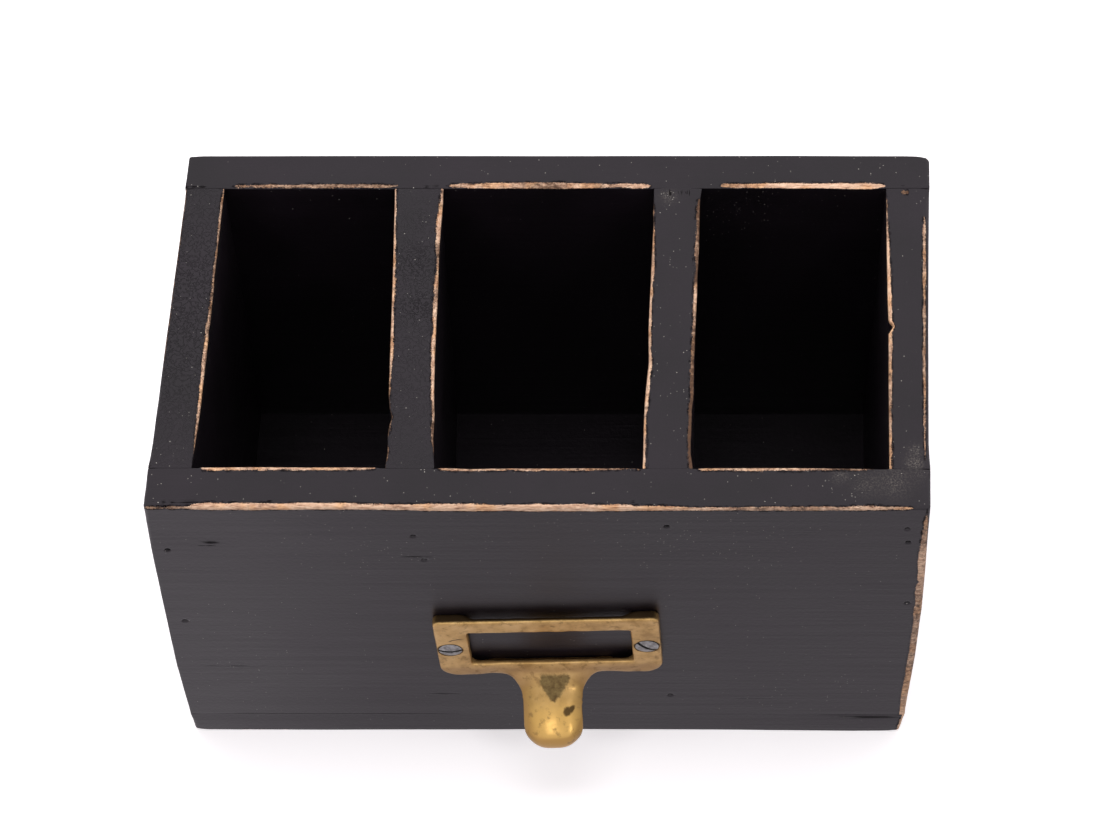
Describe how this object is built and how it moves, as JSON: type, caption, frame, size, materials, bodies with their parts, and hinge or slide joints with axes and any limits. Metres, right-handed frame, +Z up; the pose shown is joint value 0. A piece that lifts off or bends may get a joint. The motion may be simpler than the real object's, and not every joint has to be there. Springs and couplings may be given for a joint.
{
  "type": "pencil box",
  "caption": "Black painted wooden desk box with open wells side by side for pens and pencils, and a brass card frame pull screwed to its front.",
  "frame": {"origin": "centre of the base on the table, midway along the front board and midway from front to back", "axes": "+X to the right along the front, +Y from the front to the back, +Z up"},
  "size_m": [0.1852, 0.1147, 0.1162],
  "materials": {
    "painted_wood": "satin black paint, sanded through to raw wood along the arrises",
    "cast_brass": "cast brass, dulled and lightly tarnished",
    "screw_steel": "bright steel, scuffed",
    "nail_steel": "plain steel"
  },
  "bodies": {
    "root": {"bottom_board": "painted_wood", "front_board": "painted_wood", "back_board": "painted_wood", "left_end_board": "painted_wood", "right_end_board": "painted_wood", "left_divider": "painted_wood", "right_divider": "painted_wood", "card_frame_pull": "cast_brass", "left_pull_screw": "screw_steel", "right_pull_screw": "screw_steel", "front_nails_left_end": "nail_steel", "front_nails_left_divider": "nail_steel", "front_nails_right_divider": "nail_steel", "front_nails_right_end": "nail_steel", "back_nails_left_end": "nail_steel", "back_nails_left_divider": "nail_steel", "back_nails_right_divider": "nail_steel", "back_nails_right_end": "nail_steel", "bottom_nails_left_end": "nail_steel", "bottom_nails_left_divider": "nail_steel", "bottom_nails_right_divider": "nail_steel", "bottom_nails_right_end": "nail_steel", "bottom_nails_front_board": "nail_steel", "bottom_nails_back_board": "nail_steel"}
  },
  "joints": []
}
